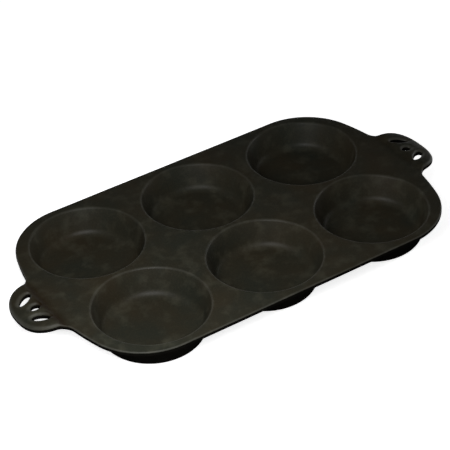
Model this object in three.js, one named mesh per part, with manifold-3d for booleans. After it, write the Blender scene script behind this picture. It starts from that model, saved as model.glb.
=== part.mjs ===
// Cast iron muffin pan: a flat deck with six shallow round wells and a pierced handle at each end.
// The real pan is one sand casting. Its regions are separate solids here, and they meet on flat
// faces: the deck plate, one cup under each well, and the two handles.
// Millimetres, +Z up, +X along the pan. The origin is under the middle, where the cups stand.

import * as THREE from "three";
import { mergeVertices } from "three/addons/utils/BufferGeometryUtils.js";
import Module from "manifold-3d";

// Deck plate
const PAN_HEIGHT = 27.5;
const DECK_THICKNESS = 4.5;
const DECK_EDGE_ROUND = 1.8;
const SIDE_LEDGE = 5.4;
const END_LEDGE = 18.2;
const CORNER_RADIUS = 58;
const END_CROWN_RADIUS = 229;

// Wells and the cups under them
const WELL_COLUMNS = ["left", "middle", "right"];
const WELL_ROWS = ["front", "back"];
const WELL_MOUTH_RADIUS = 50.8;
const WELL_RIM_ROUND = 2.5;
const WELL_DRAFT = THREE.MathUtils.degToRad(20);
const WELL_FLOOR_ROUND = 8;
const CUP_WALL = 3.6;
const CUP_FLOOR = 4.5;
const CUP_FOOT_ROUND = 6;
const CUP_GAP_X = 8.5;
const CUP_GAP_Y = 1.3;

// Handles
const HANDLE_WIDTH = 63.8;
const HANDLE_REACH = 26.8;
const HANDLE_FULLNESS = 2.4;
const HANDLE_THICKNESS = 6.2;
const HANDLE_EDGE_ROUND = 2.8;
const HANDLE_RISE = 1.9;
const HANDLE_FALL = 3.5;
const RAMP_LENGTH = 7.5;
const NECK_FILLET = 12;
const NECK_STUB = 2.4;
const SLOT_EDGE_ROUND = 2;
const SIDE_SLOT = {
  length: 17.6, outerBulge: 4.2, innerBulge: 4.1, fromTip: 15.9, offCentre: 13.9, leanDegrees: 35,
};
const MIDDLE_HOLE = {
  length: 9.5, outerBulge: 3.3, innerBulge: 3.3, fromTip: 17, offCentre: 0, leanDegrees: 0,
};

// Facets
const ROUND_SEGMENTS = 40;
const FILLET_STEPS = 4;
const NECK_STEPS = 6;
const CORNER_STEPS = 10;
const BOW_STEPS = 12;
const SLOT_STEPS = 18;
const EDGE_STEPS = 3;
const OVERSHOOT = 6;
const CUT_PROUD = 0.2;
const MERGE_WITHIN = 1e-4;
const NECK_SEARCH = 40;

const DOWN = -Math.PI / 2;
const UP = Math.PI / 2;

const wasm = await Module();
wasm.setup();

const castIron = new THREE.MeshStandardMaterial({ color: 0x2c2b28, roughness: 0.55, metalness: 0.8 });

// Points of an arc about (x, y) between two angles, both ends included.
function arc(x, y, radius, from, to, steps) {
  const points = [];
  for (let i = 0; i <= steps; i++) {
    const angle = from + ((to - from) * i) / steps;
    points.push(new THREE.Vector2(x + radius * Math.cos(angle), y + radius * Math.sin(angle)));
  }
  return points;
}

// A closed geometry as a solid that can be cut.
function solidOf(geometry) {
  const bare = geometry.clone();
  bare.deleteAttribute("normal");
  bare.deleteAttribute("uv");
  const merged = mergeVertices(bare, MERGE_WITHIN);
  const corners = merged.index.array;
  const kept = [];
  for (let i = 0; i < corners.length; i += 3) {
    const [a, b, c] = [corners[i], corners[i + 1], corners[i + 2]];
    if (a !== b && b !== c && c !== a) kept.push(a, b, c);
  }
  const mesh = new wasm.Mesh({
    numProp: 3,
    vertProperties: new Float32Array(merged.attributes.position.array),
    triVerts: new Uint32Array(kept),
  });
  return new wasm.Manifold(mesh);
}

// A solid's surface as a geometry.
function geometryOf(solid) {
  const { vertProperties, triVerts } = solid.getMesh();
  const geometry = new THREE.BufferGeometry();
  geometry.setAttribute("position", new THREE.BufferAttribute(vertProperties, 3));
  geometry.setIndex(new THREE.BufferAttribute(triVerts, 1));
  return geometry;
}

// A solid as a named mesh of the pan.
function pieceOf(name, solid) {
  const geometry = geometryOf(solid);
  geometry.computeVertexNormals();
  const piece = new THREE.Mesh(geometry, castIron);
  piece.name = name;
  return piece;
}

// A profile of (radius, height) points turned about the vertical axis through (x, y).
function turned(profile, x, y) {
  const geometry = new THREE.LatheGeometry(profile, ROUND_SEGMENTS);
  geometry.rotateX(Math.PI / 2);
  geometry.translate(x, y, 0);
  return solidOf(geometry);
}

// An outline as a plate between two heights. Its edges are rounded over a given depth, and draw in
// by the inset there, or flare out where the inset is negative.
function plate(shape, bottom, top, roundDepth, inset) {
  const geometry = new THREE.ExtrudeGeometry(shape, {
    depth: top - bottom - 2 * roundDepth,
    bevelThickness: roundDepth,
    bevelSize: inset,
    bevelOffset: -inset,
    bevelSegments: EDGE_STEPS,
    steps: 1,
  });
  geometry.translate(0, 0, bottom + roundDepth);
  return solidOf(geometry);
}

// A block between two X values, larger than the pan the other ways.
function slab(fromX, toX) {
  const geometry = new THREE.BoxGeometry(toX - fromX, 2 * deckWidth, 4 * PAN_HEIGHT);
  geometry.translate((fromX + toX) / 2, 0, 0);
  return solidOf(geometry);
}

// The well's profile: a rounded rim, a drafted wall and a rounded floor. The cup's outer wall is
// parallel to it, and the spacing of the wells follows from the cups' size under the deck.
const deckTop = PAN_HEIGHT;
const deckUnderside = PAN_HEIGHT - DECK_THICKNESS;
const rimCentreZ = deckTop - WELL_RIM_ROUND;
const wallTopRadius = WELL_MOUTH_RADIUS - WELL_RIM_ROUND * Math.cos(WELL_DRAFT);
const wallTopZ = rimCentreZ + WELL_RIM_ROUND * Math.sin(WELL_DRAFT);
const wallAcross = CUP_WALL / Math.cos(WELL_DRAFT);
const cornerShare = (1 - Math.sin(WELL_DRAFT)) / Math.cos(WELL_DRAFT);

function wallRadius(z) {
  return wallTopRadius - (wallTopZ - z) * Math.tan(WELL_DRAFT);
}

const cupTopRadius = wallRadius(deckUnderside) + wallAcross;
const pitchX = 2 * cupTopRadius + CUP_GAP_X;
const pitchY = 2 * cupTopRadius + CUP_GAP_Y;
const deckLength = WELL_COLUMNS.length * pitchX - CUP_GAP_X + 2 * END_LEDGE;
const deckWidth = WELL_ROWS.length * pitchY - CUP_GAP_Y + 2 * SIDE_LEDGE;

// The hollow of one well, from its floor to above the deck.
function well(x, y) {
  const floorRadius = wallRadius(CUP_FLOOR) - WELL_FLOOR_ROUND * cornerShare;
  const floorCentreZ = CUP_FLOOR + WELL_FLOOR_ROUND;
  return turned([
    new THREE.Vector2(0, CUP_FLOOR),
    ...arc(floorRadius, floorCentreZ, WELL_FLOOR_ROUND, DOWN, -WELL_DRAFT, FILLET_STEPS),
    ...arc(WELL_MOUTH_RADIUS, rimCentreZ, WELL_RIM_ROUND, Math.PI - WELL_DRAFT, UP, FILLET_STEPS),
    new THREE.Vector2(WELL_MOUTH_RADIUS, deckTop + OVERSHOOT),
    new THREE.Vector2(0, deckTop + OVERSHOOT),
  ], x, y);
}

// The outside of one cup, from its flat foot to the underside of the deck.
function cupBody(x, y) {
  const footRadius = wallRadius(0) + wallAcross - CUP_FOOT_ROUND * cornerShare;
  return turned([
    new THREE.Vector2(0, 0),
    ...arc(footRadius, CUP_FOOT_ROUND, CUP_FOOT_ROUND, DOWN, -WELL_DRAFT, FILLET_STEPS),
    new THREE.Vector2(cupTopRadius, deckUnderside),
    new THREE.Vector2(0, deckUnderside),
  ], x, y);
}

// The +X end of the outline: corner arcs, the crowned end, and necks that run out to the handle's rim.
// The rim is half an oval about the middle of the crowned end. A neck touches both the end and the rim.
const tipX = deckLength / 2 + HANDLE_REACH;
const crownX = deckLength / 2 - END_CROWN_RADIUS;
const cornerY = deckWidth / 2 - CORNER_RADIUS;
const cornerX = crownX + Math.sqrt((END_CROWN_RADIUS - CORNER_RADIUS) ** 2 - cornerY ** 2);
const cornerTurn = Math.atan2(cornerY, cornerX - crownX);

// A point of the rim's front half: angle 0 is the tip, -90 degrees is the root.
function rim(angle) {
  const along = Math.cos(angle) ** (2 / HANDLE_FULLNESS);
  const across = Math.abs(Math.sin(angle)) ** (2 / HANDLE_FULLNESS);
  return new THREE.Vector2(deckLength / 2 + HANDLE_REACH * along, (-HANDLE_WIDTH / 2) * across);
}

// The direction out of the rim there.
function rimNormal(angle) {
  const out = 2 - 2 / HANDLE_FULLNESS;
  const along = Math.cos(angle) ** out / HANDLE_REACH;
  const across = Math.abs(Math.sin(angle)) ** out / (HANDLE_WIDTH / 2);
  return new THREE.Vector2(along, -across).normalize();
}

function neckCentre(angle) {
  return rim(angle).addScaledVector(rimNormal(angle), NECK_FILLET);
}

let [neckAngle, searchEnd] = [DOWN, 0];
for (let i = 0; i < NECK_SEARCH; i++) {
  const middle = (neckAngle + searchEnd) / 2;
  const reach = neckCentre(middle).distanceTo(new THREE.Vector2(crownX, 0));
  if (reach < END_CROWN_RADIUS + NECK_FILLET) neckAngle = middle;
  else searchEnd = middle;
}
const neckMiddle = neckCentre(neckAngle);
const neckTurn = Math.atan2(-neckMiddle.y, neckMiddle.x - crownX);
const neckStartX = crownX + END_CROWN_RADIUS * Math.cos(neckTurn);
// The handle's landing, on a whole millimetre so that both of its faces lie in one plane.
const landingX = Math.round(neckStartX + NECK_STUB);

// One concave neck, from the crowned end out to the handle's rim.
function neck() {
  const end = rimNormal(neckAngle).negate().angle();
  return arc(neckMiddle.x, neckMiddle.y, NECK_FILLET, Math.PI - neckTurn, end, NECK_STEPS);
}

function mirrored(points) {
  return points.map((point) => new THREE.Vector2(point.x, -point.y)).reverse();
}

// Deck plate: the outline with both ends, its necks cut flat where the handles land.
const frontOfEnd = [
  ...arc(cornerX, -cornerY, CORNER_RADIUS, DOWN, -cornerTurn, CORNER_STEPS),
  ...arc(crownX, 0, END_CROWN_RADIUS, -cornerTurn, -neckTurn, FILLET_STEPS).slice(1),
  ...neck().slice(1),
];
const end = [...frontOfEnd, ...mirrored(frontOfEnd)];
const deckShape = new THREE.Shape([...end, ...end.map((point) => point.clone().negate())]);
let deck = plate(deckShape, deckUnderside, deckTop, DECK_EDGE_ROUND, DECK_EDGE_ROUND)
  .intersect(slab(-landingX, landingX));

const pan = new THREE.Group();
WELL_ROWS.forEach((row, j) => {
  WELL_COLUMNS.forEach((column, i) => {
    const x = (i - (WELL_COLUMNS.length - 1) / 2) * pitchX;
    const y = (j - (WELL_ROWS.length - 1) / 2) * pitchY;
    const hollow = well(x, y);
    deck = deck.subtract(hollow);
    pan.add(pieceOf(`cup_${row}_${column}`, cupBody(x, y).subtract(hollow)));
  });
});
pan.add(pieceOf("deck_plate", deck));

// A leaf-shaped cut-out in the handle. It leans in towards the tip.
function leaf({ length, outerBulge, innerBulge, fromTip, offCentre, leanDegrees }) {
  const middle = new THREE.Vector2(tipX - fromTip, offCentre);
  const lean = THREE.MathUtils.degToRad(-leanDegrees);
  const points = [];
  for (let i = 0; i < SLOT_STEPS; i++) {
    const angle = (2 * Math.PI * i) / SLOT_STEPS;
    const bulge = Math.sin(angle) > 0 ? outerBulge : innerBulge;
    const point = new THREE.Vector2((length / 2) * Math.cos(angle), bulge * Math.sin(angle));
    points.push(point.add(middle).rotateAround(middle, lean));
  }
  return points;
}

// Handle: necks that run into the oval rim, with two side slots and a middle hole.
function flatHandle() {
  const side = neck();
  const rootY = side[0].y - OVERSHOOT;
  const root = [
    new THREE.Vector2(landingX - 2 * OVERSHOOT, rootY),
    new THREE.Vector2(side[0].x, rootY),
  ];
  const bow = [];
  for (let i = 1; i < BOW_STEPS; i++) bow.push(rim(neckAngle * (1 - i / BOW_STEPS)));
  const half = [...root, ...side, ...bow];
  const shape = new THREE.Shape([...half, rim(0), ...mirrored(half)]);
  const bottom = deckTop - HANDLE_THICKNESS;
  let lug = plate(shape, bottom, deckTop, HANDLE_EDGE_ROUND, HANDLE_EDGE_ROUND);

  const slot = leaf(SIDE_SLOT);
  const flare = SLOT_EDGE_ROUND + CUT_PROUD;
  for (const outline of [slot, mirrored(slot), leaf(MIDDLE_HOLE)]) {
    const cutOut = new THREE.Shape(outline);
    lug = lug.subtract(plate(cutOut, bottom - CUT_PROUD, deckTop + CUT_PROUD, flare, -flare));
  }
  return lug;
}

// The handle leaves the deck at the deck's own thickness, ramps up above it, then falls to its tip.
const rampEnd = landingX + RAMP_LENGTH;

function humped(solid) {
  const geometry = geometryOf(solid);
  const position = geometry.attributes.position;
  for (let i = 0; i < position.count; i++) {
    const ramp = Math.min((position.getX(i) - landingX) / RAMP_LENGTH, 1);
    const fall = Math.max((position.getX(i) - rampEnd) / (tipX - rampEnd), 0);
    const thickness = THREE.MathUtils.lerp(DECK_THICKNESS, HANDLE_THICKNESS, ramp);
    const depth = ((deckTop - position.getZ(i)) * thickness) / HANDLE_THICKNESS;
    position.setZ(i, deckTop + HANDLE_RISE * ramp - HANDLE_FALL * fall - depth);
  }
  return solidOf(geometry);
}

const flat = flatHandle();
const root = humped(flat.intersect(slab(landingX, rampEnd)));
const lug = root.add(humped(flat.intersect(slab(rampEnd, tipX + OVERSHOOT))));
for (const [name, turn] of [["handle_right", 0], ["handle_left", Math.PI]]) {
  const piece = pieceOf(name, lug);
  piece.geometry.rotateZ(turn);
  pan.add(piece);
}

export default pan;
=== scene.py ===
# Cast iron muffin pan on a white sheet under soft studio light.
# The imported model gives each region's place, and a finer casting is drawn over it here.
import bmesh
import bpy
import math
import numpy as np
from mathutils import Matrix, Vector, noise
from mathutils.geometry import delaunay_2d_cdt


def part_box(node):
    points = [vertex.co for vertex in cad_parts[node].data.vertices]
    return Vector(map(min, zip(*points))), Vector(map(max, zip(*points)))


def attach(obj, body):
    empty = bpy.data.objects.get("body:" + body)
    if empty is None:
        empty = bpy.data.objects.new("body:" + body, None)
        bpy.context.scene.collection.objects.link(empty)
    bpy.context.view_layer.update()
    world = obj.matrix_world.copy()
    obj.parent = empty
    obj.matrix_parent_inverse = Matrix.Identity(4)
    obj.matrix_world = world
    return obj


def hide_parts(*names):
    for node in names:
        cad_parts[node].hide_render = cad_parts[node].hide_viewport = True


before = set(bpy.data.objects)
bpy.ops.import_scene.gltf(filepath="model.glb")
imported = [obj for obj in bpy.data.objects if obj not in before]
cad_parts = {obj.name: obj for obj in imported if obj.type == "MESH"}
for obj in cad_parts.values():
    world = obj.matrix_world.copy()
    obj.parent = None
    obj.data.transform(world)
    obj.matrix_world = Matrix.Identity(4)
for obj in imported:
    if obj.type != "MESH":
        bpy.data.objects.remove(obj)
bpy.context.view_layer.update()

# Deck. The flat plate that joins the wells, about 4.5 mm thick, with crowned ends and a soft edge
# all round. It is poured in one with the cups and handles in a sand mould, so its surface is a little
# uneven. Its edge is drawn as rows of points, its flats are filled with a net of triangles.
MM = 0.001
MOULD_SEED = 4
WAVE_MM = 38
WAVE_HEIGHT = 0.11
LEVEL_MM = 6
noise.seed_set(MOULD_SEED)


def as_cast(point):
    """A drawn point with the slow unevenness that a sand mould leaves. The feet stay level."""
    sway = noise.noise_vector(point / WAVE_MM) * WAVE_HEIGHT
    return point + sway * min(1.0, point.z / LEVEL_MM)


# The brown band across each handle's root is partly baked oil gathered there and partly painted shade on the
# ramp. It is stronger at the left handle, as painted shade.
ROOT_BAND_LINE_MM = 181.5
ROOT_BAND_SPREAD_MM = 3.6
ROOT_BAND_WANDER_MM = 2.4
ROOT_BAND_WAVE_MM = 9
ROOT_BAND_HALF_WIDTH_MM = 42
ROOT_BAND_FADE_MM = 10
ROOT_BAND_ON_RIGHT = 0.3


def oil_and_painted_shade(point):
    """How much of the brown root band lies at a point: baked oil and painted shade on the handles' ramps."""
    wander = noise.noise(point / ROOT_BAND_WAVE_MM)
    line = ROOT_BAND_LINE_MM + ROOT_BAND_WANDER_MM * wander
    along = math.exp(-((abs(point.x) - line) / ROOT_BAND_SPREAD_MM) ** 2)
    band_share = 1.0 if point.x < 0 else ROOT_BAND_ON_RIGHT
    band_share *= min(1.0, 1.0 + wander)
    return band_share * along * min(1.0, max(0.0, (ROOT_BAND_HALF_WIDTH_MM - abs(point.y)) / ROOT_BAND_FADE_MM))


# The dull finish is near-black, partly as unwiped sooty iron and partly as painted shade.
SATIN, DULL = 0, 1
# The rows of a net and its gap from the edge are shares of its step.
NET_ROW = math.sqrt(0.75)
NET_GAP = 0.6
NET_TOLERANCE = 1e-5
WELD_DISTANCE = 1e-6


class Skin:
    """The mesh of one piece in millimetres, drawn as rings of points with bands and fills between them."""

    def __init__(self):
        self.points = []
        self.wear_and_highlight = []
        self.faces = []
        self.finishes = []
        self.joints = []
        self.finish = SATIN

    def ring(self, xy, z, wear_and_highlight=0.0):
        """A row of points at one height or at a height for each, with how rubbed they are and how much
        painted highlight they take.
        """
        first = len(self.points)
        for (x, y), height in zip(xy, np.broadcast_to(z, len(xy))):
            self.points.append((float(x), float(y), float(height)))
            self.wear_and_highlight.append(wear_and_highlight)
        return list(range(first, len(self.points)))

    def face(self, corners):
        self.faces.append(corners)
        self.finishes.append(self.finish)

    def band(self, upper, lower, closed=True, hidden=False):
        """Faces between two rows. A hidden band is a joint inside the metal."""
        for i in range(len(upper) if closed else len(upper) - 1):
            j = (i + 1) % len(upper)
            corners = (upper[i], lower[i], lower[j], upper[j])
            if hidden:
                self.joints.append(corners)
            else:
                self.face(corners)

    def bands(self, rings, closed=True):
        for upper, lower in zip(rings, rings[1:]):
            self.band(upper, lower, closed)

    def fill(self, rings, step, height):
        """A net of triangles about one step wide, inside the first ring and outside the others."""
        names = [i for ring in rings for i in ring]
        edge = np.array([self.points[i][:2] for i in names])
        sides = []
        for ring in rings:
            first = len(sides)
            sides += [(first + k, first + (k + 1) % len(ring)) for k in range(len(ring))]
        start, stop = edge[[a for a, _ in sides]], edge[[b for _, b in sides]]
        rise = np.where(stop[:, 1] == start[:, 1], 1.0, stop[:, 1] - start[:, 1])

        def inside(at):
            across = (start[:, 1] > at[1]) != (stop[:, 1] > at[1])
            crossing = start[:, 0] + (at[1] - start[:, 1]) * (stop[:, 0] - start[:, 0]) / rise
            return np.count_nonzero(across & (at[0] < crossing)) % 2 == 1

        net = list(edge)
        low, high = edge.min(0), edge.max(0)
        for row, y in enumerate(np.arange(low[1], high[1], step * NET_ROW)):
            for x in np.arange(low[0] + (row % 2) * step / 2, high[0], step):
                at = np.array((x, y))
                if inside(at) and np.min(np.sum((edge - at) ** 2, axis=1)) > (NET_GAP * step) ** 2:
                    net.append(at)
                    names += self.ring([at], height(x, y))
        spots = [Vector(p) for p in net]
        _, _, triangles, origins, _, _ = delaunay_2d_cdt(spots, sides, [], 0, NET_TOLERANCE, True)
        for triangle in triangles:
            corners = [origins[i][0] for i in triangle]
            if inside(np.mean([net[i] for i in corners], axis=0)):
                self.face(tuple(names[i] for i in corners))

    def piece(self, name, node, turn=0.0):
        """The finished object, turned about the pan's middle, which stands for a region of the model."""
        made = bmesh.new()
        worn_and_highlit = made.verts.layers.float.new("worn_and_highlit")
        oil_and_shade = made.verts.layers.float.new("oil_and_shade")
        spin = Matrix.Rotation(turn, 4, "Z")
        for point, wear_and_highlight in zip(self.points, self.wear_and_highlight):
            drawn = spin @ Vector(point)
            vert = made.verts.new(as_cast(drawn) * MM)
            vert[worn_and_highlit] = wear_and_highlight
            vert[oil_and_shade] = oil_and_painted_shade(drawn)
        made.verts.ensure_lookup_table()
        for corners, finish in zip(self.faces, self.finishes):
            face = made.faces.new([made.verts[i] for i in corners])
            face.smooth = True
            face.material_index = finish
        for corners in self.joints:
            hidden = made.faces.new([made.verts[i] for i in corners])
            for side in hidden.edges:
                side.smooth = False
        bmesh.ops.remove_doubles(made, verts=made.verts, dist=WELD_DISTANCE)
        bmesh.ops.recalc_face_normals(made, faces=made.faces)
        mesh = bpy.data.meshes.new(name)
        made.to_mesh(mesh)
        made.free()
        for finish in (satin_iron, dull_shaded_iron):
            mesh.materials.append(finish)
        obj = bpy.data.objects.new(name, mesh)
        bpy.context.collection.objects.link(obj)
        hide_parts(node)
        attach(obj, "root")


def linear(hex_colour):
    """An sRGB hex colour as linear light."""
    channels = [int(hex_colour[i:i + 2], 16) / 255 for i in (1, 3, 5)]
    return tuple(c / 12.92 if c <= 0.04045 else ((c + 0.055) / 1.055) ** 2.4 for c in channels) + (1.0,)


def add_node(tree, kind, sockets, **settings):
    """A new node with its settings, its values and the links into it."""
    made = tree.nodes.new(kind)
    for key, value in settings.items():
        setattr(made, key, value)
    for key, value in sockets.items():
        if isinstance(value, bpy.types.NodeSocket):
            tree.links.new(value, made.inputs[key])
        else:
            made.inputs[key].default_value = value
    return made


# Seasoned sand-cast iron: oil baked on in thin coats over a pebbled casting skin. The coats hide the
# metal, so the eye sees a satin brown-black with slow patches, faint smudges and a fine grain. Its paler
# rubbed edges are partly real rubbing and partly a painted highlight on the edge rounds, and the brown band
# at the handle roots is partly baked oil and partly painted shade. The real grain is about 0.5 mm. It is
# drawn two to four times as coarse, so that it shows.
PATCH_MM = 48
SMUDGE_MM = 13
PEBBLE_MM = 2.2
PEBBLE_HEIGHT_MM = 0.06
GRAIN_MM = 1.2
GRAIN_HEIGHT_MM = 0.05
satin_iron = bpy.data.materials.new("seasoned_cast_iron")
satin_iron.use_nodes = True
tree = satin_iron.node_tree
shader = tree.nodes["Principled BSDF"]
place = add_node(tree, "ShaderNodeTexCoord", {}).outputs["Object"]
patches = add_node(tree, "ShaderNodeTexNoise",
                   {"Vector": place, "Scale": 1 / (PATCH_MM * MM), "Detail": 3.0, "Roughness": 0.55})
smudges = add_node(tree, "ShaderNodeTexNoise",
                   {"Vector": place, "Scale": 1 / (SMUDGE_MM * MM), "Detail": 4.0, "Roughness": 0.6})
grain = add_node(tree, "ShaderNodeTexNoise",
                 {"Vector": place, "Scale": 1 / (GRAIN_MM * MM), "Detail": 2.0, "Roughness": 0.6})
pebbles = add_node(tree, "ShaderNodeTexVoronoi", {"Vector": place, "Scale": 1 / (PEBBLE_MM * MM)},
                   feature="SMOOTH_F1")
worn_and_highlit = add_node(tree, "ShaderNodeAttribute", {}, attribute_name="worn_and_highlit")
oil_and_shade = add_node(tree, "ShaderNodeAttribute", {}, attribute_name="oil_and_shade")
browned = add_node(tree, "ShaderNodeMapRange",
                   {"Value": patches.outputs["Fac"], "From Min": 0.35, "From Max": 0.68})
grained = add_node(tree, "ShaderNodeMapRange",
                   {"Value": grain.outputs["Fac"], "From Min": 0.45, "From Max": 0.75, "To Max": 0.35})
smudged = add_node(tree, "ShaderNodeMapRange",
                   {"Value": smudges.outputs["Fac"], "From Min": 0.5, "From Max": 0.75, "To Max": 0.5})
rubbed_and_highlit = add_node(tree, "ShaderNodeMath", {0: worn_and_highlit.outputs["Fac"], 1: smudges.outputs["Fac"]},
                  operation="MULTIPLY")
satin = add_node(tree, "ShaderNodeMapRange",
                 {"Value": smudges.outputs["Fac"], "From Min": 0.3, "From Max": 0.7,
                  "To Min": 0.36, "To Max": 0.52})
# Each layer of colour lies over the ones before it, by a share that varies over the surface. A mix takes
# the share at its input 0 and the two colours at 6 and 7, and gives the mixed colour at its output 2.
colour = linear("#1b1c17")
# The paler layer is partly real rubbing and partly a painted highlight on the edge rounds. The last, dark
# brown layer is partly baked oil and partly painted shade at the handle roots.
for share, over in ((browned.outputs[0], "#211d15"), (grained.outputs[0], "#2d2b21"),
                    (smudged.outputs[0], "#34332a"), (rubbed_and_highlit.outputs[0], "#3d3d38"),
                    (oil_and_shade.outputs["Fac"], "#140d04")):
    layer = add_node(tree, "ShaderNodeMix", {0: share, 6: colour, 7: linear(over)}, data_type="RGBA")
    colour = layer.outputs[2]
grain_bump = add_node(tree, "ShaderNodeBump",
                      {"Height": grain.outputs["Fac"], "Distance": GRAIN_HEIGHT_MM * MM, "Strength": 0.6})
pebble_bump = add_node(tree, "ShaderNodeBump",
                       {"Height": pebbles.outputs["Distance"], "Distance": PEBBLE_HEIGHT_MM * MM,
                        "Strength": 0.6, "Normal": grain_bump.outputs["Normal"]})
tree.links.new(colour, shader.inputs["Base Color"])
tree.links.new(satin.outputs[0], shader.inputs["Roughness"])
tree.links.new(pebble_bump.outputs["Normal"], shader.inputs["Normal"])
shader.inputs["Metallic"].default_value = 0.0
shader.inputs["IOR"].default_value = 1.45
shader.inputs["Specular IOR Level"].default_value = 0.08

# Dull sand-cast iron: the outside and the underside, which are never wiped with oil. A dry layer of soot
# hides the metal, so the eye sees a flat black with the same coarsened grain, a little deeper, and no gloss.
# Its near-black colour is partly that soot and partly painted shade, for the shadow under the deck, on the
# cups' outsides and on the lower halves of the rounded edges.
GRIT_HEIGHT_MM = 0.08
dull_shaded_iron = bpy.data.materials.new("sooty_shaded_cast_iron")
dull_shaded_iron.use_nodes = True
tree = dull_shaded_iron.node_tree
shader = tree.nodes["Principled BSDF"]
place = add_node(tree, "ShaderNodeTexCoord", {}).outputs["Object"]
soot = add_node(tree, "ShaderNodeTexNoise",
                {"Vector": place, "Scale": 1 / (SMUDGE_MM * MM), "Detail": 4.0, "Roughness": 0.6})
grit = add_node(tree, "ShaderNodeTexNoise",
                {"Vector": place, "Scale": 1 / (GRAIN_MM * MM), "Detail": 2.0, "Roughness": 0.6})
soot_and_shade_mix = add_node(tree, "ShaderNodeMix",
                 {0: soot.outputs["Fac"], 6: linear("#050504"), 7: linear("#0c0b09")}, data_type="RGBA")
grit_bump = add_node(tree, "ShaderNodeBump",
                     {"Height": grit.outputs["Fac"], "Distance": GRIT_HEIGHT_MM * MM, "Strength": 0.7})
tree.links.new(soot_and_shade_mix.outputs[2], shader.inputs["Base Color"])
tree.links.new(grit_bump.outputs["Normal"], shader.inputs["Normal"])
shader.inputs["Roughness"].default_value = 0.85
shader.inputs["Metallic"].default_value = 0.0
shader.inputs["IOR"].default_value = 1.45
shader.inputs["Specular IOR Level"].default_value = 0.0


def box_mm(node):
    low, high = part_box(node)
    return np.array(low) / MM, np.array(high) / MM


# Outline of the deck's front edge, from the left handle's landing to the right one's, in millimetres from
# the pan's middle. A neck's small arc joins each crowned end to the lug of its handle.
deck_low, deck_high = box_mm("deck_plate")
LANDING = deck_high[0]
DECK_TOP = deck_high[2]
UNDERSIDE = deck_low[2]
END_X = 180.43
CORNER_RADIUS = 58
CROWN_RADIUS = 229
NECK_RADIUS = 12
NECK_X = 188.498
NECK_Y = 43.354
STRAIGHT_POINTS = 50
CORNER_STEPS = 44
CROWN_STEPS = 14
DECK_NECK_STEPS = 12
crown_x = END_X - CROWN_RADIUS
corner_y = deck_high[1] - CORNER_RADIUS
corner_x = crown_x + math.sqrt((CROWN_RADIUS - CORNER_RADIUS) ** 2 - corner_y ** 2)
corner_turn = math.atan2(corner_y, corner_x - crown_x)
neck_turn = math.atan2(NECK_Y, NECK_X - crown_x)


def arc(x, y, radius, start, stop, steps):
    turn = np.linspace(start, stop, steps + 1)
    return np.stack([x + radius * np.cos(turn), y + radius * np.sin(turn)], axis=1)


def landing_turn(inset):
    """Where on the neck's arc an edge row meets the plane of the joint with the handle."""
    return math.acos((LANDING - NECK_X) / (NECK_RADIUS + inset))


def front_row(inset):
    """The front half of the outline, drawn in by an inset."""
    straight = np.array([(x, inset - deck_high[1]) for x in np.linspace(0, corner_x, STRAIGHT_POINTS)])
    neck_start, neck_stop = math.pi - neck_turn, landing_turn(inset)
    quarter = np.vstack([
        straight[:-1],
        arc(corner_x, -corner_y, CORNER_RADIUS - inset, -math.pi / 2, -corner_turn, CORNER_STEPS)[:-1],
        arc(crown_x, 0, CROWN_RADIUS - inset, -corner_turn, -neck_turn, CROWN_STEPS)[:-1],
        arc(NECK_X, -NECK_Y, NECK_RADIUS + inset, neck_start, neck_stop, DECK_NECK_STEPS),
    ])
    return np.vstack([(quarter * (-1, 1))[:0:-1], quarter])


# Rows of a rounded edge, as shares of its radius: how far in and how far down from the top flat, with how
# rubbed they are and how much painted highlight they take, then how far in and how far up from the
# underside.
# The first few are wiped with oil and satin. The rest take the dull near-black, which is partly painted
# shade.
EDGE_ROUND = 1.3
EDGE_STEPS = 6
WIPED_STEPS = 5
RIM_WEAR_AND_HIGHLIGHT = 0.75
quarter_turns = np.linspace(0, math.pi / 2, EDGE_STEPS + 1)
upper_rows = [(1 - math.sin(a), 1 - math.cos(a), RIM_WEAR_AND_HIGHLIGHT * math.sin(2 * a)) for a in quarter_turns]
lower_rows = [(1 - math.cos(a), 1 - math.sin(a)) for a in quarter_turns]

deck = Skin()
runs = []
for way in (1, -1):
    run = []
    for share, sunk, wear_and_highlight in upper_rows:
        run.append(deck.ring(way * front_row(share * EDGE_ROUND), DECK_TOP - sunk * EDGE_ROUND, wear_and_highlight))
    for share, raised in lower_rows:
        run.append(deck.ring(way * front_row(share * EDGE_ROUND), UNDERSIDE + raised * EDGE_ROUND))
    runs.append(run)
    deck.finish = SATIN
    deck.bands(run[:WIPED_STEPS + 1], closed=False)
    deck.finish = DULL
    deck.bands(run[WIPED_STEPS:], closed=False)

# The joints with the handles are flat faces inside the metal. Each joins the end of one edge run to the
# start of the other.
LANDING_STEPS = 27
landing_half = abs(front_row(EDGE_ROUND)[-1, 1])
landing_y = np.linspace(-landing_half, landing_half, LANDING_STEPS + 1)[1:-1]
cuts = []
for x, order, first, second in ((LANDING, 1, 0, 1), (-LANDING, -1, 1, 0)):
    across = [(x, y) for y in landing_y[::order]]
    upper, lower = deck.ring(across, DECK_TOP), deck.ring(across, UNDERSIDE)
    cuts.append((upper, lower))
    down = [row[-1] for row in runs[first]]
    up = [row[0] for row in runs[second]][::-1]
    deck.joints.append(tuple(down + lower + up + upper[::-1]))

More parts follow.
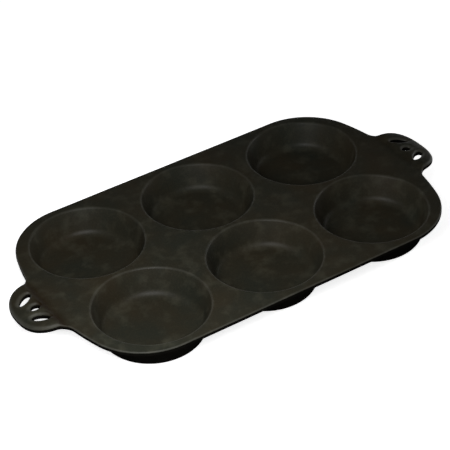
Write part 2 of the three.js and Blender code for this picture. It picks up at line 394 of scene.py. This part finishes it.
# Well mouths. Each has a softly rounded rim that runs into the drafted wall. Under the deck a fillet
# runs out from each cup, and the fillets of the two rows meet on the pan's middle line.
ROWS = ("front", "back")
COLUMNS = ("left", "middle", "right")
WELL_STEPS = 128
RIM_STEPS = 8
DRAFT = math.radians(20)
MOUTH_RADIUS = 50.8
RIM_ROUND = 2.5
FILLET = 3.0
CUP_WALL = 3.6
SEAM = 20.0
NO_FACING = 1e-9
DECK_NET_MM = 4.0
around = np.linspace(0, 2 * math.pi, WELL_STEPS, endpoint=False)
circle = np.stack([np.cos(around), np.sin(around)], axis=1)
rim_turn = np.linspace(math.pi / 2, math.pi - DRAFT, RIM_STEPS + 1)
rim = [(MOUTH_RADIUS + RIM_ROUND * np.cos(a), DECK_TOP - RIM_ROUND + RIM_ROUND * np.sin(a))
       for a in rim_turn]
wall_across = CUP_WALL / math.cos(DRAFT)


def wall_radius(z):
    """The inside of the drafted wall at a height."""
    return rim[-1][0] - (rim[-1][1] - z) * math.tan(DRAFT)


mouth_profile = rim + [(wall_radius(SEAM), SEAM)]
# How rubbed the rim is and how much painted highlight it takes, row by row from the deck down into the well.
mouth_wear_and_highlight = [0.0, 0.2, 0.35, 0.4, 0.3, 0.2, 0.1]
mouth_wear_and_highlight += [0.0] * (len(mouth_profile) - len(mouth_wear_and_highlight))
fillet_radius = wall_radius(UNDERSIDE) + wall_across + FILLET * (1 - math.sin(DRAFT)) / math.cos(DRAFT)
fillet = [(fillet_radius + FILLET * np.cos(a), UNDERSIDE - FILLET + FILLET * np.sin(a))
          for a in rim_turn]
well_at = {}
mouths, roots = [], []
for row in ROWS:
    for column in COLUMNS:
        low, high = box_mm(f"cup_{row}_{column}")
        centre = (low + high)[:2] / 2
        well_at[row, column] = centre
        inner = [deck.ring(centre + r * circle, z, w) for (r, z), w in zip(mouth_profile, mouth_wear_and_highlight)]
        deck.finish = SATIN
        deck.bands(inner)
        outer = []
        facing = np.maximum(-np.sign(centre[1]) * circle[:, 1], NO_FACING)
        to_middle = abs(centre[1]) / facing
        for r, z in fillet:
            reach = np.minimum(r, to_middle)
            droop = np.sqrt(FILLET ** 2 - np.clip(fillet_radius - reach, 0, FILLET) ** 2)
            height = np.where(r > to_middle, UNDERSIDE - FILLET + droop, z)
            outer.append(deck.ring(centre + reach[:, None] * circle, height))
        outer.append(deck.ring(centre + (wall_radius(SEAM) + wall_across) * circle, SEAM))
        # The underside takes the dull near-black finish, partly painted shade.
        deck.finish = DULL
        deck.bands(outer)
        deck.band(inner[-1], outer[-1], hidden=True)
        mouths.append(inner[0])
        roots.append(outer[0])
top_outline = runs[0][0] + cuts[0][0] + runs[1][0] + cuts[1][0]
bottom_outline = runs[0][-1] + cuts[0][1] + runs[1][-1] + cuts[1][1]
deck.fill([bottom_outline] + roots, DECK_NET_MM, lambda x, y: UNDERSIDE)
deck.finish = SATIN
deck.fill([top_outline] + mouths, DECK_NET_MM, lambda x, y: DECK_TOP)
deck.piece("deck_casting", "deck_plate")

# Cups. Six shallow bowls of the same casting: a drafted wall, a flat floor with a rounded corner, and a
# flat foot that the pan stands on. Each joins the deck inside the metal, part way down its wall.
CUP_FLOOR = 4.5
FLOOR_ROUND = 8
FOOT_ROUND = 6
ROUND_STEPS = 10
INSIDE_HEIGHTS = (SEAM, 17.0, 13.5)
OUTSIDE_HEIGHTS = (SEAM, 15.0, 10.0)
FLOOR_NET_MM = 4.5
FOOT_NET_MM = 6.0
corner_share = (1 - math.sin(DRAFT)) / math.cos(DRAFT)
round_turn = np.linspace(-DRAFT, -math.pi / 2, ROUND_STEPS + 1)
floor_radius = wall_radius(CUP_FLOOR) - FLOOR_ROUND * corner_share
foot_radius = wall_radius(0) + wall_across - FOOT_ROUND * corner_share
inside_wall = [(wall_radius(z), z) for z in INSIDE_HEIGHTS]
inside_wall += [(floor_radius + FLOOR_ROUND * np.cos(a), CUP_FLOOR + FLOOR_ROUND * (1 + np.sin(a)))
                for a in round_turn]
outside_wall = [(wall_radius(z) + wall_across, z) for z in OUTSIDE_HEIGHTS]
outside_wall += [(foot_radius + FOOT_ROUND * np.cos(a), FOOT_ROUND * (1 + np.sin(a))) for a in round_turn]
for (row, column), centre in well_at.items():
    cup = Skin()
    inner = [cup.ring(centre + r * circle, z) for r, z in inside_wall]
    outer = [cup.ring(centre + r * circle, z) for r, z in outside_wall]
    cup.bands(inner)
    cup.fill([inner[-1]], FLOOR_NET_MM, lambda x, y: CUP_FLOOR)
    cup.band(inner[0], outer[0], hidden=True)
    # The outside takes the dull near-black finish, partly painted shade.
    cup.finish = DULL
    cup.bands(outer)
    cup.fill([outer[-1]], FOOT_NET_MM, lambda x, y: 0.0)
    cup.piece(f"cup_casting_{row}_{column}", f"cup_{row}_{column}")

# Handles. A half-oval lug of iron at each end, cast in one with the deck and pierced by two leaf-shaped
# slots and a small middle hole, for the fingers or a hook. It swells up out of the deck on a short ramp,
# then droops to its rounded tip.
TIP = box_mm("handle_right")[1][0]
HALF_WIDTH = 31.9
FULLNESS = 2.4
RAMP = 7.0
RISE = 2.1
DROOP = 3.7
DROOP_POWER = 2.2
THICKNESS = 6.6
TIP_ROUND = 2.9
SLOT_ROUND = 2.6
TIPWARD_ROUND = 0.6
OVAL_POINTS = 400
BOW_POINTS = 54
SLOT_STEPS = 48
NECK_STEPS = 14
HANDLE_NET_MM = 1.6
UNDER_NET_MM = 1.8


def eased(x, start, stop):
    share = np.clip((x - start) / (stop - start), 0, 1)
    return share * share * (3 - 2 * share)


def handle_top(x):
    droop = np.clip((x - LANDING - RAMP / 2) / (TIP - LANDING - RAMP / 2), 0, 1) ** DROOP_POWER
    return DECK_TOP + RISE * eased(x, LANDING, LANDING + RAMP) - DROOP * droop


def handle_bottom(x):
    deck_thickness = DECK_TOP - UNDERSIDE
    return handle_top(x) - deck_thickness - (THICKNESS - deck_thickness) * eased(x, LANDING, LANDING + RAMP)


def leaf(length, outer_bulge, inner_bulge, from_tip, off_centre, lean):
    """A slot's outline, with the direction into the metal at each point."""
    turn = np.linspace(0, 2 * math.pi, SLOT_STEPS, endpoint=False)
    bulge = np.where(np.sin(turn) > 0, outer_bulge, inner_bulge)
    at = np.stack([length / 2 * np.cos(turn), bulge * np.sin(turn)], axis=1)
    out = np.stack([bulge * np.cos(turn), length / 2 * np.sin(turn)], axis=1)
    out /= np.linalg.norm(out, axis=1)[:, None]
    c, s = math.cos(math.radians(lean)), math.sin(math.radians(lean))
    spin = np.array(((c, s), (-s, c)))
    return np.hstack([at @ spin.T + (TIP - from_tip, off_centre), out @ spin.T])


# The rim's front half is a quarter of a full oval. It starts where the neck's arc touches it.
turn = np.linspace(-math.pi / 2, 0, OVAL_POINTS)
power = 2 / FULLNESS
oval = np.stack([END_X + (TIP - END_X) * np.cos(turn) ** power,
                 -HALF_WIDTH * np.abs(np.sin(turn)) ** power], axis=1)
oval_in = -np.stack([np.cos(turn) ** (2 - power) / (TIP - END_X),
                     -np.abs(np.sin(turn)) ** (2 - power) / HALF_WIDTH], axis=1)
oval_in /= np.linalg.norm(oval_in, axis=1)[:, None]
from_neck = oval - (NECK_X, -NECK_Y)
touch = np.argmin(np.linalg.norm(from_neck, axis=1))
neck_end = math.atan2(from_neck[touch, 1], from_neck[touch, 0])
kept = np.unique(np.linspace(touch + 1, OVAL_POINTS - 1, BOW_POINTS).astype(int))
bow, bow_in = oval[kept], oval_in[kept]


def lug_row(share):
    """The lug's outline from joint to joint, drawn in by a share of the edge's radius there."""
    neck_round = np.linspace(EDGE_ROUND, TIP_ROUND, NECK_STEPS + 1)[:, None] * share
    neck_turns = np.linspace(landing_turn(EDGE_ROUND * share), neck_end, NECK_STEPS + 1)
    neck_out = np.stack([np.cos(neck_turns), np.sin(neck_turns)], axis=1)
    neck = np.array((NECK_X, -NECK_Y)) + (NECK_RADIUS + neck_round) * neck_out
    half = np.vstack([neck, bow + bow_in * TIP_ROUND * share])
    return np.vstack([half, (half * (1, -1))[-2::-1]])


slot = leaf(length=15.2, outer_bulge=3.1, inner_bulge=3.0, from_tip=15.9, off_centre=13.9, lean=34)
middle_hole = leaf(length=8.0, outer_bulge=3.0, inner_bulge=3.0, from_tip=18.0, off_centre=0, lean=0)
slots = [slot, slot * (1, -1, 1, -1), middle_hole]

# Rows of the lug's rim and of its openings, whose upper edges are rounder on the side of the tip.
handle = Skin()
rim_round = np.full(len(lug_row(0)), TIP_ROUND)
rim_round[:NECK_STEPS + 1] = np.linspace(EDGE_ROUND, TIP_ROUND, NECK_STEPS + 1)
rim_round[-NECK_STEPS - 1:] = rim_round[NECK_STEPS::-1]
rim_rows = []
slot_rows = [[] for _ in slots]
for share, sunk, wear_and_highlight in upper_rows:
    at = lug_row(share)
    rim_rows.append(handle.ring(at, handle_top(at[:, 0]) - sunk * rim_round, wear_and_highlight))
    for made, outline in zip(slot_rows, slots):
        lead_in = SLOT_ROUND * (1 + TIPWARD_ROUND * np.clip(outline[:, 2:3], 0, 1))
        at = outline[:, :2] + outline[:, 2:] * lead_in * share
        made.append(handle.ring(at, handle_top(at[:, 0]) - sunk * SLOT_ROUND, wear_and_highlight))
for share, raised in lower_rows:
    at = lug_row(share)
    rim_rows.append(handle.ring(at, handle_bottom(at[:, 0]) + raised * rim_round))
    for made, outline in zip(slot_rows, slots):
        at = outline[:, :2] + outline[:, 2:] * SLOT_ROUND * share
        made.append(handle.ring(at, handle_bottom(at[:, 0]) + raised * SLOT_ROUND))
handle.bands(rim_rows[:WIPED_STEPS + 1], closed=False)
for made in slot_rows:
    handle.bands(made[:WIPED_STEPS + 1])
# The lower rows of the rim and of the openings take the dull near-black finish, partly painted shade.
handle.finish = DULL
handle.bands(rim_rows[WIPED_STEPS:], closed=False)
for made in slot_rows:
    handle.bands(made[WIPED_STEPS:])

# The joint with the deck is inside the metal. It is bowed a hair, so that no three points of the net
# are in line.
JOINT_BOW = 0.02
across = [(LANDING - JOINT_BOW * (1 - (y / landing_half) ** 2), y) for y in landing_y[::-1]]
upper, lower = handle.ring(across, DECK_TOP), handle.ring(across, UNDERSIDE)
down = [row[-1] for row in rim_rows]
up = [row[0] for row in rim_rows][::-1]
handle.joints.append(tuple(down + lower + up + upper[::-1]))
below = [rim_rows[-1] + lower] + [rows[-1] for rows in slot_rows]
handle.fill(below, UNDER_NET_MM, lambda x, y: handle_bottom(x))
handle.finish = SATIN
above = [rim_rows[0] + upper] + [rows[0] for rows in slot_rows]
handle.fill(above, HANDLE_NET_MM, lambda x, y: handle_top(x))
handle.piece("handle_casting_right", "handle_right")
handle.piece("handle_casting_left", "handle_left", turn=math.pi)

# Floor. A sheet of white paper that the pan stands on, wide enough to fill the view and turned up far off
# all round as a backdrop. It is lit from below too, as a light table is: a little less near the pan, which
# keeps its pale shadow, and to full white farther out.
SHEET_RADIUS = 10.0
SWEEP_HEIGHT = 2.2
SWEEP_STEPS = 64
NEAR_PAN, NEAR_GLOW = 0.3, 0.82
FAR_OUT, FAR_GLOW = 0.9, 1.0
ends = [2 * math.pi * i / SWEEP_STEPS for i in range(SWEEP_STEPS)]
level_ring = [(SHEET_RADIUS * math.cos(a), SHEET_RADIUS * math.sin(a), 0.0) for a in ends]
raised_ring = [(x, y, SWEEP_HEIGHT) for x, y, _ in level_ring]
sheet_faces = [tuple(range(SWEEP_STEPS))]
for i in range(SWEEP_STEPS):
    j = (i + 1) % SWEEP_STEPS
    sheet_faces.append((i, j, SWEEP_STEPS + j, SWEEP_STEPS + i))
sheet_mesh = bpy.data.meshes.new("white_sheet")
sheet_mesh.from_pydata(level_ring + raised_ring, [], sheet_faces)
sheet = bpy.data.objects.new("white_sheet", sheet_mesh)
bpy.context.collection.objects.link(sheet)

# Matt white paper: pressed wood fibre with no coating. The eye sees an even white with no gloss.
paper = bpy.data.materials.new("matt_white_paper")
paper.use_nodes = True
tree = paper.node_tree
shader = tree.nodes["Principled BSDF"]
shader.inputs["Base Color"].default_value = linear("#f4f4f4")
shader.inputs["Roughness"].default_value = 0.9
shader.inputs["Specular IOR Level"].default_value = 0.0
rays = add_node(tree, "ShaderNodeLightPath", {})
seen = rays.outputs["Is Camera Ray"]
for kind in ("Is Glossy Ray", "Is Transmission Ray"):
    seen = add_node(tree, "ShaderNodeMath", {0: seen, 1: rays.outputs[kind]}, operation="ADD").outputs[0]
spot = add_node(tree, "ShaderNodeTexCoord", {}).outputs["Object"]
distance = add_node(tree, "ShaderNodeVectorMath", {0: spot}, operation="LENGTH")
strength = add_node(tree, "ShaderNodeMapRange",
                    {"Value": distance.outputs["Value"], "From Min": NEAR_PAN, "From Max": FAR_OUT,
                     "To Min": NEAR_GLOW, "To Max": FAR_GLOW})
glow = add_node(tree, "ShaderNodeMath", {0: seen, 1: strength.outputs[0]}, operation="MULTIPLY")
lit = add_node(tree, "ShaderNodeEmission", {"Color": linear("#ffffff"), "Strength": glow.outputs[0]})
whole = add_node(tree, "ShaderNodeAddShader", {0: shader.outputs[0], 1: lit.outputs[0]})
tree.links.new(whole.outputs[0], tree.nodes["Material Output"].inputs["Surface"])
sheet_mesh.materials.append(paper)

# Light. A room with a pale ceiling and dim walls, a soft box above the pan's front left corner, so that
# the light falls away to the back and the right, and a weaker one beyond its right end.
CEILING_EDGE = 0.55
CEILING_GLOW = 0.2
room = bpy.data.worlds.new("studio_room")
scene = bpy.context.scene
scene.world = room
room.use_nodes = True
tree = room.node_tree
way = add_node(tree, "ShaderNodeTexCoord", {}).outputs["Generated"]
height = add_node(tree, "ShaderNodeSeparateXYZ", {0: way}).outputs["Z"]
ceiling = add_node(tree, "ShaderNodeMapRange",
                   {"Value": height, "From Min": CEILING_EDGE, "From Max": 1.0, "To Max": CEILING_GLOW})
tree.nodes["Background"].inputs["Color"].default_value = linear("#ffffff")
tree.links.new(ceiling.outputs[0], tree.nodes["Background"].inputs["Strength"])


def soft_box(name, place, width, power):
    """A square lamp that faces the pan."""
    lamp = bpy.data.lights.new(name, "AREA")
    lamp.shape = "SQUARE"
    lamp.size = width
    lamp.energy = power
    obj = bpy.data.objects.new(name, lamp)
    bpy.context.collection.objects.link(obj)
    obj.location = place
    obj.rotation_euler = Vector(place).to_track_quat("Z", "Y").to_euler()


soft_box("front_left_box", place=(-0.2, -0.19, 0.28), width=0.22, power=2.25)
soft_box("right_box", place=(0.75, -0.05, 0.2), width=0.3, power=1.2)

# Camera. A long lens from the front left, about 37 degrees above the floor, tilted a little.
LENS_PIXELS = 1789.6
FRAME_PIXELS = 450
SENSOR_MM = 36
DISTANCE = 1.5268
AIM_MM = (-3.237, 3.407, 26.4)
azimuth = math.radians(-31.678)
elevation = math.radians(36.743)
roll = math.radians(-2.883)
behind = Vector((math.sin(azimuth) * math.cos(elevation), -math.cos(azimuth) * math.cos(elevation),
                 math.sin(elevation)))
level = Vector((math.cos(azimuth), math.sin(azimuth), 0))
upright = behind.cross(level)
right = level * math.cos(roll) + upright * math.sin(roll)
up_axis = upright * math.cos(roll) - level * math.sin(roll)
lens = bpy.data.cameras.new("camera")
lens.sensor_width = SENSOR_MM
lens.lens = LENS_PIXELS / FRAME_PIXELS * SENSOR_MM
camera = bpy.data.objects.new("camera", lens)
bpy.context.collection.objects.link(camera)
pose = Matrix((right, up_axis, behind)).transposed().to_4x4()
pose.translation = Vector(AIM_MM) * MM + behind * DISTANCE
camera.matrix_world = pose
scene.camera = camera
scene.view_settings.view_transform = "Standard"
